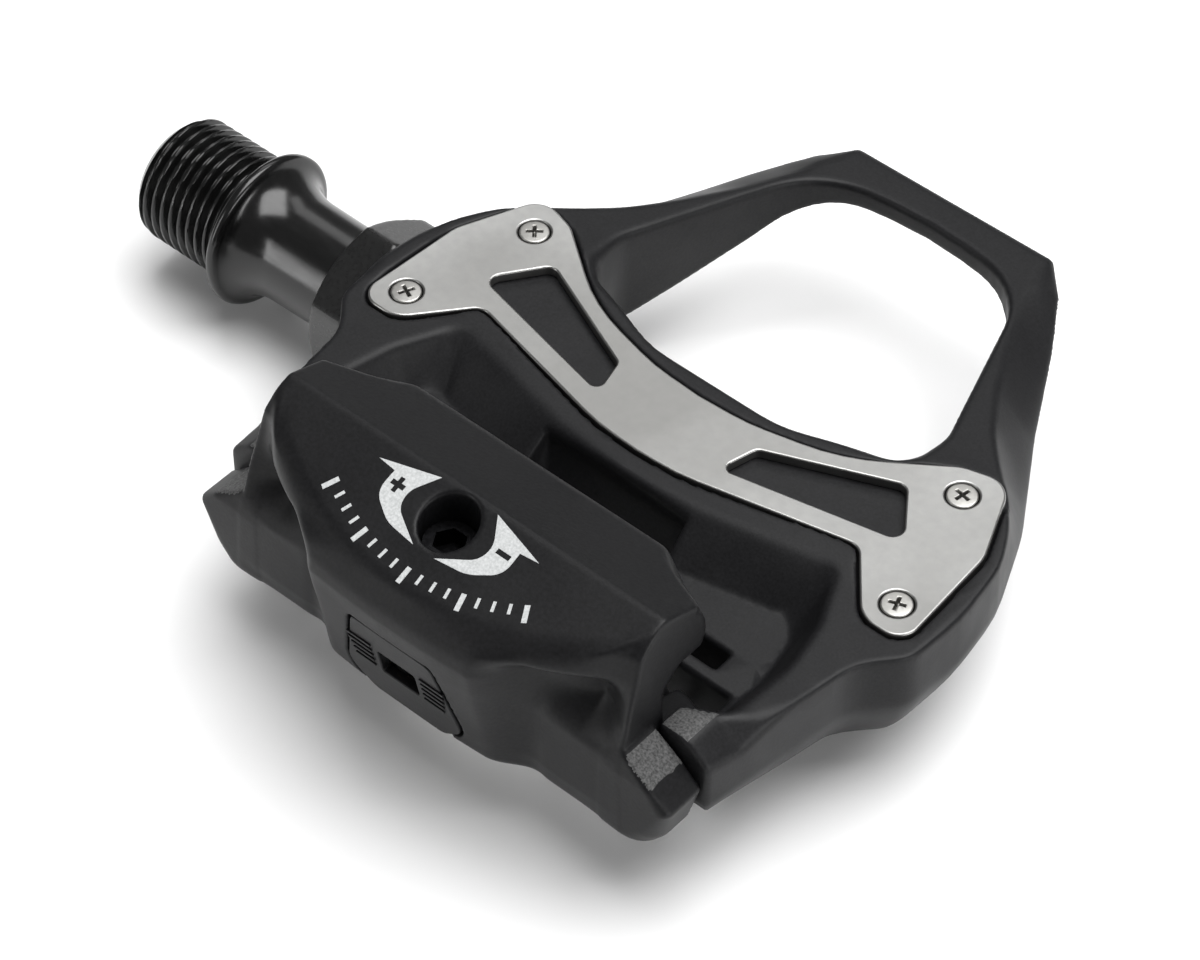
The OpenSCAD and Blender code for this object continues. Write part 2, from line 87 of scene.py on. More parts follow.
# ---- outlines: corner lists [x, y, corner radius] ----
def rounded(corners, step_deg=10):
    """The closed outline through the corners, each rounded with its own radius."""
    points = []
    n = len(corners)
    for i, (x, y, r) in enumerate(corners):
        b = np.array((x, y), float)
        a, c = [np.array(corners[(i + s) % n][:2], float) for s in (-1, 1)]
        la, lc = np.linalg.norm(a - b), np.linalg.norm(c - b)
        u, v = (a - b) / la, (c - b) / lc
        half = math.acos(max(-1, min(1, float(u @ v)))) / 2
        if r <= 0 or half > math.radians(89):
            points.append(b)
            continue
        reach = min(r / math.tan(half), 0.48 * la, 0.48 * lc)
        middle = b + (u + v) / np.linalg.norm(u + v) * reach / math.cos(half)
        p, q = b + u * reach - middle, b + v * reach - middle
        turn = math.atan2(p[0] * q[1] - p[1] * q[0], p @ q)
        steps = max(2, math.ceil(abs(math.degrees(turn)) / step_deg))
        for k in range(steps + 1):
            t = turn * k / steps
            points.append(middle + (p[0] * math.cos(t) - p[1] * math.sin(t),
                                    p[0] * math.sin(t) + p[1] * math.cos(t)))
    return np.array(points)


def whole(half):
    """A symmetric outline from the corners on its +X side."""
    return half + [(-x, y, r) for x, y, r in reversed(half) if x > 0]


PLATE = [(0, -1.25, 0), (5, -1.1, 30), (24.3, 3.4, 1.8), (30, -3.5, 3.5), (35.15, -3.5, 3.5),
         (34.3, 10.1, 5), (30.3, 19.5, 3.8), (25.4, 18.1, 3.8), (16, 11.2, 22), (6, 8.8, 22),
         (0, 8.5, 0)]
WINDOW = [(7.9, 2.3, 0.8), (27.2, 6.6, 1.2), (22.9, 12.6, 1.2), (9, 6.6, 1)]
OUTLINE = [(0, -26.3, 0), (30.6, -26.3, 0.4), (31.8, -18, 20), (33.2, -8.6, 6), (37, -4.4, 4),
           (37.3, 3, 20), (36.2, 10.5, 14), (32.2, 19.6, 20), (25.2, 30.9, 30), (20.1, 40.4, 40),
           (16.2, 46.8, 3), (12.9, 50.3, 1.0), (0, 50.3, 0)]
LOOP = [(0, 10.9, 0), (8.5, 10.9, 14), (20.6, 15.6, 4.2), (21.3, 21.2, 5), (13.2, 44.2, 11),
        (0, 45.6, 40)]
RECESS = [(0, -3.9, 0), (9, -3, 12), (24.4, 0.1, 2), (27.6, -6.5, 6), (28.8, -12.5, 10),
          (28.3, -20.6, 2.5), (24, -23, 1), (0, -24, 0)]
CLAW_FRONT = [(0, -15.6, 0), (15.6, -15.6, 2), (19.4, -17.8, 5), (27, -21.2, 0), (27, -60, 0),
              (0, -60, 0)]
CLAW_SIDE = [(-8, 5.2, 0), (-8, 20, 0), (-50, 20, 0), (-50, -14, 0), (-24, -14, 3), (-19, -11.5, 3),
             (-18.3, -4, 2), (-25.2, -1.5, 2), (-25, 3.6, 1.5), (-22.8, 5.2, 1.2)]
WING = [(18, 0.5, 0), (24.4, 0.5, 0.3), (27.8, -1.8, 0.4), (30.2, -4.0, 0.5), (28.8, -9, 3), (25.4, -14, 1),
        (18, -14, 0)]
INSERT = [(0, -7.2, 0), (4.4, -7.2, 2), (7.4, -4.6, 2.4), (5, 5, 1), (0, 5, 0)]


# ---- distance fields: negative inside ----
def polygon_field(corners, u, v):
    """Signed distance to an outline on the grid u x v."""
    outline = rounded(corners)
    pu, pv = np.meshgrid(u, v, indexing="ij")
    best = np.full(pu.shape, np.inf)
    inside = np.zeros(pu.shape, bool)
    for (au, av), (bu, bv) in zip(outline, np.roll(outline, -1, axis=0)):
        eu, ev = bu - au, bv - av
        length2 = eu * eu + ev * ev
        if length2 < 1e-12:
            continue
        t = np.clip(((pu - au) * eu + (pv - av) * ev) / length2, 0, 1)
        best = np.minimum(best, (pu - au - t * eu) ** 2 + (pv - av - t * ev) ** 2)
        if abs(ev) > 1e-12:
            inside ^= ((av > pv) != (bv > pv)) & (pu < eu * (pv - av) / ev + au)
    return np.where(inside, -1, 1) * np.sqrt(best)


def meet(a, b, r=0.0):
    """Intersection with its edge rounded to radius r."""
    edge = np.hypot(np.maximum(a + r, 0), np.maximum(b + r, 0))
    return np.minimum(-r, np.maximum(a, b)) + edge


def join(a, b, r=0.0):
    """Union with its corner filled to radius r."""
    return -meet(-a, -b, r)


def cut(a, b, r=0.0):
    """a without b, with the new edge rounded."""
    return meet(a, -b, r)


def ramp(t):
    """0 below 0, 1 above 1, smooth between."""
    t = np.clip(t, 0, 1)
    return t * t * (3 - 2 * t)


def table(at, places, values, blur=1.0):
    """Values interpolated over places, with the kinks blurred."""
    spread = np.linspace(-blur, blur, 9)
    return np.mean([np.interp(at + s, places, values) for s in spread], axis=0)


def grid(low, high, step):
    """Sample places along each axis from the low corner to the high one."""
    return [np.arange(a, b + step, step) for a, b in zip(low, high)]


def spread3(x, y, z):
    """The three axes shaped so that they combine to a volume."""
    return x[:, None, None], y[None, :, None], z[None, None, :]


# ---- meshing ----
def sample(values, at):
    """Trilinear samples of a grid at fractional indices."""
    base = np.clip(np.floor(at).astype(int), 0, np.array(values.shape) - 2)
    f = at - base
    total = 0
    for c in product((0, 1), repeat=3):
        weight = np.prod([f[:, i] if c[i] else 1 - f[:, i] for i in range(3)], axis=0)
        total = total + weight * values[tuple((base + c).T)]
    return total


def surface_quads(field):
    """Vertices (fractional indices) and quads of the zero surface: one vertex a crossed cell."""
    inside = field < 0
    cells = np.array(field.shape) - 1
    count = np.zeros(cells, np.int8)
    for c in product((0, 1), repeat=3):
        count += inside[tuple(slice(o, o + n) for o, n in zip(c, cells))]
    active = np.argwhere((count > 0) & (count < 8))
    index = np.full(cells, -1)
    index[tuple(active.T)] = np.arange(len(active))
    total = np.zeros((len(active), 3))
    hits = np.zeros(len(active))
    for axis in range(3):
        for c in product((0, 1), repeat=2):
            start = np.insert(np.array(c), axis, 0)
            end = np.insert(np.array(c), axis, 1)
            fa, fb = field[tuple((active + start).T)], field[tuple((active + end).T)]
            crossed = (fa < 0) != (fb < 0)
            t = np.where(crossed, fa / np.where(crossed, fa - fb, 1), 0)
            total += np.where(crossed[:, None], start + t[:, None] * (end - start), 0)
            hits += crossed
    quads = []
    for axis in range(3):
        b, c = (axis + 1) % 3, (axis + 2) % 3
        low = np.take(inside, range(field.shape[axis] - 1), axis)
        high = np.take(inside, range(1, field.shape[axis]), axis)
        edges = np.argwhere(low != high)
        ok = np.all([(edges[:, k] > 0) & (edges[:, k] < field.shape[k] - 1) for k in (b, c)], axis=0)
        edges = edges[ok]
        eb, ec = np.eye(3, dtype=int)[b], np.eye(3, dtype=int)[c]
        ring = [index[tuple((edges - s).T)] for s in (eb + ec, ec, 0 * eb, eb)]
        quad = np.stack(ring, 1)
        outward = inside[tuple(edges.T)]
        quads.append(np.where(outward[:, None], quad, quad[:, ::-1]))
    return active + total / hits[:, None], np.concatenate(quads)


def make_mesh(name, points_m, faces):
    """A smooth-shaded mesh object in metres."""
    mesh = bpy.data.meshes.new(name)
    mesh.from_pydata(points_m.tolist(), [], faces.tolist() if hasattr(faces, "tolist") else faces)
    mesh.validate()
    piece = bpy.data.objects.new(name, mesh)
    bpy.context.scene.collection.objects.link(piece)
    for polygon in mesh.polygons:
        polygon.use_smooth = True
    return piece


def apply_modifiers(piece):
    """The piece's modifiers worked into its mesh."""
    depsgraph = bpy.context.evaluated_depsgraph_get()
    mesh = bpy.data.meshes.new_from_object(piece.evaluated_get(depsgraph))
    piece.modifiers.clear()
    old, piece.data = piece.data, mesh
    bpy.data.meshes.remove(old)


def field_piece(name, field, axes, keep):
    """The field's zero surface as an object, thinned to a share of its faces, with the field's normals."""
    step = axes[0][1] - axes[0][0]
    low = np.array([a[0] for a in axes])
    slopes = np.gradient(field)
    at, quads = surface_quads(field)
    for _ in range(3):
        g = np.stack([sample(s, at) for s in slopes], 1)
        move = -sample(field, at)[:, None] * g / np.maximum((g * g).sum(1), 1e-6)[:, None]
        at = at + np.clip(move, -0.4, 0.4)
    offset = np.array(PEDAL) / MM
    piece = make_mesh(name, ((low + at * step) + offset) * MM, quads)
    thin = piece.modifiers.new("thin", "DECIMATE")
    thin.ratio = keep
    apply_modifiers(piece)
    mesh = piece.data
    points = np.zeros(len(mesh.vertices) * 3)
    mesh.vertices.foreach_get("co", points)
    at = (points.reshape(-1, 3) / MM - offset - low) / step
    g = np.stack([sample(s, at) for s in slopes], 1)
    g /= np.maximum(np.linalg.norm(g, axis=1), 1e-9)[:, None]
    mesh.polygons.foreach_set("use_smooth", [True] * len(mesh.polygons))
    mesh.normals_split_custom_set_from_vertices(g.tolist())
    return piece


def lathe(name, rows, turns=144, closed_ends=True):
    """A surface round the X axis from rows (x, r), where r may depend on the angle."""
    angle = np.arange(turns) * 2 * math.pi / turns
    points = []
    for x, r in rows:
        xs, rs = np.broadcast_to(x, angle.shape), np.broadcast_to(r, angle.shape)
        points.append(np.stack([xs, rs * np.cos(angle), rs * np.sin(angle)], 1))
    faces = []
    for i in range(len(rows) - 1):
        for k in range(turns):
            k2 = (k + 1) % turns
            faces.append((i * turns + k, (i + 1) * turns + k, (i + 1) * turns + k2, i * turns + k2))
    if closed_ends:
        faces.append(tuple(range(turns)))
        faces.append(tuple(reversed(range((len(rows) - 1) * turns, len(rows) * turns))))
    else:
        last = (len(rows) - 1) * turns
        for k in range(turns):
            k2 = (k + 1) % turns
            faces.append((last + k, k, k2, last + k2))
    return make_mesh(name, np.concatenate(points) * MM, faces)


def sharpen(piece, degrees=35):
    """Flat shading across edges sharper than the angle."""
    bpy.context.view_layer.objects.active = piece
    with bpy.context.temp_override(object=piece, selected_editable_objects=[piece]):
        bpy.ops.object.shade_smooth_by_angle(angle=math.radians(degrees))


# ---- body ----
LAND = -0.3
# profiles along Y, each a row of places and a row of values: the heights of the top, of the
# underside and of the widest level, and how far the sides lean in at the top and at the bottom
TOP = ([-22.6, -21.8, -19, -8, 16, 20, 30, 40, 50.4],
       [0.7, 0.55, -0.1, LAND, LAND, -0.8, -1.6, -2.4, -3.1])
BOTTOM = ([-27, -24, -15, -5, 5, 13, 23, 28, 37, 44, 50.4],
          [-12, -12.2, -14, -16.5, -18, -16, -13.5, -12, -9, -5.9, -4.9])
WIDEST = ([30, 44, 50.4], [-6.5, -4.6, -4.1])
LEAN_TOP = ([-27, -10, -6, 0, 11, 15, 18, 21, 25, 31, 37, 43, 47, 50],
            [0, 0, 0.4, 0.2, 0.2, 0.6, 1.7, 3.0, 4.2, 4.5, 4.5, 3.6, 1.9, 0.5])
LEAN_BOTTOM = ([-27, -15, -4, 4, 14, 24, 35, 50], [3.8, 4.0, 5.5, 6.5, 5.0, 4.0, 3.0, 1.2])
PAD_TOP, PAD_SLOPE = 0.7, 0.8
PAD_EDGE = ([-22, -16, -10], [27.9, 31.2, 36])
HOUSING_R = -AXLE_Z
HOUSING_LEFT, HOUSING_RIGHT = -37.2, 30.6
NUT_FACE_R, SPIGOT_R, SLEEVE_R, BORE_END = 9.35, 7.25, 8.05, 25.4
ARM_IN = 24.6
DECK_REAR = -15.8
PIN_R, PIN_END = 2.0, 29.6
SLOT_HALF, SLOT_FRONT, SLOT_FLOOR = 9.0, -4.0, -11.0
DRAIN_X, DRAIN_Y, DRAIN_HALF = 16.95, -12.95, (4.35, 1.15)


def body_shell(x, y, z):
    """The outer shape: outline, crowned sides, top land and underside, with the loop's hole."""
    X, Y, Z = spread3(x, y, z)
    top = table(Y, *TOP, 0.5)
    bottom = table(Y, *BOTTOM)
    lean_top = table(Y, *LEAN_TOP, 1.3)
    lean_bottom = table(Y, *LEAN_BOTTOM)
    middle = np.interp(Y, *WIDEST)
    up = np.clip((Z - middle) / (top - middle), 0, 1.3)
    down = np.clip((middle - Z) / (middle - bottom), 0, 1.3)
    side = polygon_field(whole(OUTLINE), x, y)[:, :, None]
    side = side + lean_top * up ** 1.35 + lean_bottom * down ** 1.6
    shell = meet(side, Z - top, 0.3)
    shell = meet(shell, bottom - Z, 1.6)
    # the arms fall away outside the pads at their ends
    fall = Z - PAD_TOP + PAD_SLOPE * (np.abs(X) - np.interp(Y, *PAD_EDGE))
    shell = meet(shell, 0.78 * fall, 0.5)
    hole = polygon_field(whole(LOOP), x, y)[:, :, None] + 0.03 * (Z + 3)
    soft = 0.7 + 0.9 * np.exp(-((np.abs(X) - 20) / 5) ** 2 - ((Y - 15.5) / 4.5) ** 2)
    return cut(shell, hole, soft)


def body_recess(body, x, y, z):
    """The cleat's pocket behind the plate, its deep middle slot and the drain windows."""
    X, Y, Z = spread3(x, y, z)
    side = np.abs(X)
    depth = -polygon_field(whole(RECESS), x, y)[:, :, None]
    steep = 0.86 + 0.7 * ramp((side - 21) / 5)
    floor = np.interp(Y, [-16, -5], [-5.1, -4.4])
    wall = -0.35 - steep * depth
    land = meet(wall, floor, 2.0)
    body = meet(body, (Z - land) / np.sqrt(1 + steep * steep), 0.5)
    flare = SLOT_HALF + 0.07 * np.clip(SLOT_FRONT - Y, 0, 12)
    slot = np.maximum(np.maximum(side - flare, Y - SLOT_FRONT), SLOT_FLOOR - Z)
    body = cut(body, slot, 0.5)
    windows = np.maximum(np.abs(side - DRAIN_X) - DRAIN_HALF[0], np.abs(Y - DRAIN_Y) - DRAIN_HALF[1])
    return cut(body, windows, 0.35)


def body_field(x, y, z):
    """The moulded body: shell, recess, arms, axle housing, plate seat and bores."""
    X, Y, Z = spread3(x, y, z)
    side = np.abs(X)
    body = body_recess(body_shell(x, y, z), x, y, z)
    claw_room = np.maximum(side - ARM_IN, Y - DECK_REAR)
    body = cut(body, claw_room, 0.4)
    from_pivot = np.hypot(Y - PIVOT_Y, Z - PIVOT_Z)
    heel = np.maximum(np.maximum(Y - PIVOT_Y + 0.6, Z - PIVOT_Z), 3.8 - from_pivot)
    body = cut(body, heel, 0.3)
    from_axle = np.hypot(Y - AXLE_Y, Z - AXLE_Z)
    housing = meet(from_axle - HOUSING_R, X - HOUSING_RIGHT, 3.0)
    housing = np.maximum(housing, np.maximum(HOUSING_LEFT - X, Z - LAND))
    ends = polygon_field(whole(OUTLINE), x, y)[:, :, None]
    body = join(body, meet(housing, ends, 1.0), 1.2)
    seat = np.maximum(polygon_field(whole(PLATE), x, y)[:, :, None] - 0.25, -PLATE_T - Z)
    body = cut(body, seat)
    body = cut(body, np.maximum(from_axle - NUT_FACE_R, X + 36), 0.15)
    body = cut(body, np.maximum(from_axle - np.where(X < -28, SPIGOT_R, SLEEVE_R), X - BORE_END))
    # the pin's hole is blind on the right and goes through the left arm
    pin = np.maximum(from_pivot - PIN_R, side - PIN_END)
    pin_left = np.maximum(from_pivot - PIN_R, X)
    return cut(body, np.minimum(pin, pin_left))


def make_body():
    """The moulded body as one mesh."""
    axes = grid((-38.2, -27.6, -21.4), (38.2, 51.4, 1.6), 0.34)
    return field_piece("body_shell", body_field(*axes), axes, 0.36)


# ---- claw ----
CREASE_Y, CREASE_Z, FACET = -24.3, 12.4, 0.36
RIM_R = 36.5
# profiles over the height, each a row of places and a row of values: Y of the rear face along
# the skirt, at the claw's ends and on the nose in the middle
SKIRT = ([-12, -8, -1.5], [-31.3, -31.9, -31.6])
END = ([-11, -2, 0.6, 3.4, 6.4, 10, 12.2], [-31.8, -31.6, -31, -30.4, -29.3, -27.9, -25.2])
NOSE = ([-12.5, -8, -3.1, 1.7, 4.5, 7.5], [-33.8, -34.45, -35.35, -36.3, -36.75, -36.3])
CLAW_HALF, KNUCKLE_HALF, HOLLOW_HALF, ROOF = 24.34, 24.1, 20.8, 3.2
WING_GAP_R, KNUCKLE_R, PIN_BORE_R = 4.25, 4.2, 2.05
BOLT_HEAD_R, BOLT_BORE_R, BOLT_SEAT, BOSS_R = 2.9, 2.05, 5.75, 4.6
INSERT_Y, INSERT_Z, INSERT_TILT = -34.1, -3.1, math.radians(11)
INSERT_T, GROOVE = 1.1, 0.32


def rear_of_claw(x, z):
    """Y of the claw's rear face over X and Z: rim, waist, skirt and the nose in the middle."""
    side, Z = np.abs(x)[:, None], z[None, :]
    rim = -RIM_R * np.sqrt(np.clip(1 - (side / RIM_R) ** 2, 0.05, 1))
    skirt = np.interp(Z, *SKIRT) + 0.5 * ramp((16 - side) / 4)
    waist = np.minimum(rim + 3.0, -27.9)
    fall = ramp((7.6 - Z) / 3.2)
    flare = ramp((3.2 - Z) / 4.6)
    flank = rim + (waist - rim) * fall
    flank = flank + (skirt - flank) * flare
    flank = flank + (np.interp(Z, *END) - flank) * ramp((side - 19.5) / 5.5)
    nose = np.interp(Z, *NOSE) + side ** 2 / 220
    return flank + (nose - flank) * ramp((14.8 - side) / 5.2) * ramp((8.6 - Z) / 1.5)


def insert_plane(Y, Z):
    """Height above the seat of the indicator insert, and the place up along it."""
    c, s = math.cos(INSERT_TILT), math.sin(INSERT_TILT)
    dy, dz = Y - INSERT_Y, Z - INSERT_Z
    return -c * dy - s * dz, -s * dy + c * dz


def insert_outline(x, y, z, grow):
    """Height above the insert's seat and distance to its outline, projected square to the seat."""
    _, Y, Z = spread3(x, y, z)
    height, along = insert_plane(Y, Z)
    v = np.linspace(along.min(), along.max(), 260)
    flat = polygon_field(whole(INSERT), x, v) - grow
    at = (along[0] - v[0]) / (v[1] - v[0])
    k = np.clip(at.astype(int), 0, len(v) - 2)
    f = at - k
    return height, flat[:, k] * (1 - f) + flat[:, k + 1] * f


def claw_bottom(Y, Z):
    """Above the claw's sloping underside."""
    return (-13 - (Y + 24) * 0.27 - Z) * 0.965


def claw_hood(x, y, z):
    """The roof facets, flank, front and ends of the claw, without its wings."""
    X, Y, Z = spread3(x, y, z)
    side = np.abs(X)
    lean = 1 / math.hypot(1, FACET)
    front_facet = (Z - CREASE_Z + FACET * (Y - CREASE_Y)) * lean
    rear_facet = (Z - CREASE_Z - FACET * (Y - CREASE_Y)) * lean
    top = meet(front_facet, rear_facet, 0.2)
    rear = (rear_of_claw(x, z)[:, None, :] - Y) * 0.92
    bulge = 0.9 * np.clip(1 - ((Z - 7.3) / 2.4) ** 2, 0, 1)
    front = polygon_field(whole(CLAW_FRONT), x, y)[:, :, None] - bulge
    soft, crisp = meet(top, rear, 2.3), meet(top, rear, 0.5)
    hood = soft + (crisp - soft) * ramp((side - 17.5) / 5)
    hood = meet(hood, front, 0.35)
    hood = meet(hood, polygon_field(CLAW_SIDE, y, z)[None], 0.35)
    hood = meet(hood, side - CLAW_HALF + 0.06 * Z, 0.35)
    return meet(hood, claw_bottom(Y, Z), 1.2), rear


def claw_wing(x, y, z, rear):
    """The outer ends of the claw behind the arms, hollowed round the pivot."""
    X, Y, Z = spread3(x, y, z)
    low = np.clip((-2 - Z) / 8, 0, 1)
    wing = polygon_field(WING, np.abs(x), z)[:, None, :]
    wing = meet(wing, rear, 0.5 + 2.0 * low)
    wing = meet(wing, np.maximum(Y + 26.6, 22 - np.abs(X)), 0.25)
    wing = meet(wing, claw_bottom(Y, Z), 1.0)
    return meet(wing, WING_GAP_R - np.hypot(Y - PIVOT_Y, Z - PIVOT_Z), 0.1)


def claw_field(x, y, z):
    """The claw: hood, wings, knuckles, hollow, bolt hole and insert seat."""
    X, Y, Z = spread3(x, y, z)
    side = np.abs(X)
    claw, rear = claw_hood(x, y, z)
    claw = join(claw, claw_wing(x, y, z, rear), 0.15)
    from_pivot = np.hypot(Y - PIVOT_Y, Z - PIVOT_Z)
    knuckle = np.maximum(np.maximum(from_pivot - KNUCKLE_R, side - KNUCKLE_HALF), HOLLOW_HALF - side)
    claw = join(claw, knuckle, 0.3)
    hollow = np.maximum(np.maximum(side - HOLLOW_HALF, -27.6 - Y), Z - ROOF)
    claw = cut(claw, hollow, 0.3)
    bay = np.maximum(np.maximum(side - 8, -31 - Y), Z - ROOF)
    claw = cut(claw, bay, 0.3)
    from_bolt = np.hypot(X, Y - BOLT_Y)
    boss = np.maximum(np.maximum(from_bolt - BOSS_R, ROOF - Z), Z - 8)
    boss = np.maximum(boss, Y + 25.2)
    claw = np.minimum(claw, np.maximum(boss, -27 - Y))
    claw = cut(claw, np.maximum(from_bolt - BOLT_HEAD_R, BOLT_SEAT - Z), 0.35)
    claw = cut(claw, from_bolt - BOLT_BORE_R)
    claw = cut(claw, from_pivot - PIN_BORE_R)
    height, outline = insert_outline(x, y, z, GROOVE)
    claw = cut(claw, np.maximum(outline, -height), 0.12)
    slot = np.maximum(np.maximum(side - 2.0, np.abs(Z + 4.7) - 4.3), np.maximum(Y + 28.5, -36.5 - Y))
    return cut(claw, slot)


def make_claw():
    """The claw as one mesh."""
    axes = grid((-31.2, -38.4, -14.8), (31.2, -13.6, 13.2), 0.24)
    return field_piece("claw_hood", claw_field(*axes), axes, 0.4)


# ---- plates cut from sheet ----
def curve_piece(name, curve):
    """A mesh object made from a curve."""
    holder = bpy.data.objects.new("holder", curve)
    bpy.context.scene.collection.objects.link(holder)
    depsgraph = bpy.context.evaluated_depsgraph_get()
    mesh = bpy.data.meshes.new_from_object(holder.evaluated_get(depsgraph))
    bpy.data.objects.remove(holder)
    piece = bpy.data.objects.new(name, mesh)
    bpy.context.scene.collection.objects.link(piece)
    return piece


def curve_sheet(name, outlines, thickness, bevel):
    """A flat sheet with holes and rounded rims, its top at z = 0."""
    curve = bpy.data.curves.new(name, "CURVE")
    curve.dimensions = "2D"
    curve.fill_mode = "BOTH"
    curve.extrude = (thickness / 2 - bevel) * MM
    curve.bevel_depth = bevel * MM
    curve.bevel_resolution = 3
    curve.offset = -bevel * MM
    for outline in outlines:
        spline = curve.splines.new("POLY")
        spline.points.add(len(outline) - 1)
        spline.use_cyclic_u = True
        for point, (x, y) in zip(spline.points, outline):
            point.co = (x * MM, y * MM, 0, 1)
    piece = curve_piece(name, curve)
    piece.data.transform(Matrix.Translation((0, 0, -thickness / 2 * MM)))
    return piece


def circle(x, y, r, n=40):
    """Outline points of a circle."""
    return [(x + r * math.cos(2 * math.pi * k / n), y + r * math.sin(2 * math.pi * k / n)) for k in range(n)]


def screw_centres():
    """Places of the four plate screws, rear pair first."""
    rear = (screws_high.x - PEDAL.x) / MM - HEAD_R
    return [(s * x, y) for x, y in ((rear, 0.0), (27.74, 15.07)) for s in (1, -1)]


def make_plate():
    """The wear plate with its two windows and four screw holes."""
    windows = [rounded([(s * x, y, r) for x, y, r in WINDOW][::s]) for s in (1, -1)]
    holes = [circle(x, y, VISIBLE_HEAD_R + 0.12) for x, y in screw_centres()]
    piece = curve_sheet("wear_plate", [rounded(whole(PLATE), 6)] + windows + holes, PLATE_T, 0.22)
    piece.data.transform(Matrix.Translation(PEDAL))
    sharpen(piece, 40)
    return piece


def make_screws():
    """Domed countersunk heads with a cross recess, and their shanks."""
    turns, rings = 72, 26
    points, faces = [], []
    for number, (cx, cy) in enumerate(screw_centres()):
        spin = math.radians((20, 65, -10, 40)[number])
        base = len(points)
        for i in range(rings + 1):
            r = VISIBLE_HEAD_R * (i / rings)
            for k in range(turns):
                a = 2 * math.pi * k / turns
                u, v = abs(r * math.cos(a - spin)), abs(r * math.sin(a - spin))
                arm = max(min(u, v) - 0.12, max(u, v) - 0.8)
                recess = 0.9 * float(ramp(np.array(0.5 - arm / 0.16)))
                dome = 0.1 * (1 - (r / VISIBLE_HEAD_R) ** 2)
                edge = 0.1 * max(0.0, (r - VISIBLE_HEAD_R + 0.15) / 0.15) ** 2
                points.append((cx + r * math.cos(a), cy + r * math.sin(a), dome - recess - edge - 0.02))
        for r, z in ((VISIBLE_HEAD_R, -0.25), (SHANK_R, -1.3), (SHANK_R, -4.1), (0.02, -4.2)):
            for k in range(turns):
                a = 2 * math.pi * k / turns
                points.append((cx + r * math.cos(a), cy + r * math.sin(a), z))
        for i in range(rings + 4):
            for k in range(turns):
                k2 = (k + 1) % turns
                faces.append((base + i * turns + k, base + (i + 1) * turns + k,
                              base + (i + 1) * turns + k2, base + i * turns + k2))
        faces.append(tuple(base + (rings + 4) * turns + k for k in reversed(range(turns))))
    piece = make_mesh("plate_screw_set", np.array(points) * MM + np.array(PEDAL), faces)
    weld = piece.modifiers.new("weld", "WELD")
    weld.merge_threshold = 0.002 * MM
    apply_modifiers(piece)
    sharpen(piece, 50)
    return piece


# ---- spindle and lock nut ----
THREAD_R, THREAD_MINOR, NECK_R, PITCH = 7.144, 6.36, 6.75, 1.27
COLLAR_R, SHAFT_R, FILLET_LENGTH = 8.85, 6.0, 4.9
KEY, KEY_DEPTH = 8.0, 8.0
# the shaft from its waist to its tip: seal seat, ball race, roller race, cone thread
SHAFT = [(10, 5.95), (15.75, 5.9), (17.9, 5.9), (21.9, 5.4), (30.8, 5.4), (31.3, 5.0), (32, 4.92),
         (32.7, 5.0), (33.2, 5.4), (35, 5.4), (35.4, 4.88), (50, 4.88), (52, 4.6), (65, 4.6), (66, 4.0)]


def hexagon(across, angle):
    """Radius of a hexagon of that width across flats, with a corner at angle 0."""
    return across / 2 / np.cos((angle % (math.pi / 3)) - math.pi / 6)


def make_spindle():
    """Helical thread, collar, fillet, shaft with its bearing seats, and the hexagon socket."""
    low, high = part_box("spindle")
    tip, far = low.x / MM, high.x / MM
    turns = 144
    angle = np.arange(turns) * 2 * math.pi / turns
    socket = hexagon(KEY, angle + math.pi / 6)
    rows = [(tip + KEY_DEPTH + 0.2, 0.05), (tip + KEY_DEPTH, socket * 0.98),
            (tip + KEY_DEPTH - 0.4, socket), (tip + 0.5, socket),
            (tip, np.maximum(socket + 0.4, 4.7)), (tip, 5.6), (tip + 0.15, 6.0)]
    for x in np.arange(tip + 0.3, -0.75, 0.07):
        phase = (x / PITCH - angle / (2 * math.pi)) % 1
        tooth = np.clip((np.abs(phase - 0.5) - 0.07) / 0.32, 0, 1)
        fade = ramp((np.array(-1.1) - x) / 0.9)
        thread = THREAD_R - (THREAD_R - THREAD_MINOR) * (1 - tooth)
        crest = NECK_R + (thread - NECK_R) * fade
        rows.append((x, np.minimum(crest, 6.15 + (x - tip - 0.3) * 1.0)))
    rows += [(-0.7, 6.7), (-0.12, 6.7), (0.0, 6.9), (0.0, COLLAR_R - 0.35), (0.12, COLLAR_R - 0.1),
             (0.35, COLLAR_R), (0.8, COLLAR_R), (1.0, COLLAR_R - 0.12), (1.1, COLLAR_R - 0.3)]
    for a in np.radians(np.arange(8, 91, 4)):
        drop = (COLLAR_R - 0.1 - SHAFT_R) * (1 - math.sin(a))
        rows.append((1.15 + FILLET_LENGTH * (1 - math.cos(a)), SHAFT_R + drop))
    rows += SHAFT + [(far - 0.5, 4.0), (far, 3.5), (far, 0.05)]
    piece = lathe("threaded_spindle", rows, turns)
    sharpen(piece, 48)
    return piece


NUT_ACROSS = 17.0


